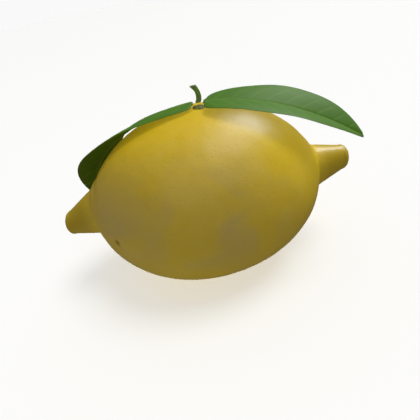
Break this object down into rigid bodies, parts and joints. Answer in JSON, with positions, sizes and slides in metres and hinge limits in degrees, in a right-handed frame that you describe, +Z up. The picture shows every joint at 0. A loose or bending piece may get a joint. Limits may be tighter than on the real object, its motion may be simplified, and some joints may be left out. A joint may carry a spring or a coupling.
{
  "type": "lemon with stem and leaves",
  "caption": "Whole lemon lying on a small flat spot, with a blunt nub at each end and a short stem and curved leaves on top.",
  "frame": {"origin": "centre of the small flat spot on the fruit's underside, which the lemon rests on", "axes": "+X along the fruit's long axis towards the right nub, +Y towards the side that the left leaf leans to, +Z up through the top of the fruit"},
  "size_m": [0.0986, 0.058, 0.0634],
  "materials": {
    "rind": "satin",
    "calyx": "matte",
    "stem": "matte",
    "leaf": "satin"
  },
  "bodies": {
    "root": {"fruit": "rind", "calyx": "calyx", "stem": "stem", "leaf_right": "leaf", "leaf_left": "leaf"}
  },
  "joints": []
}
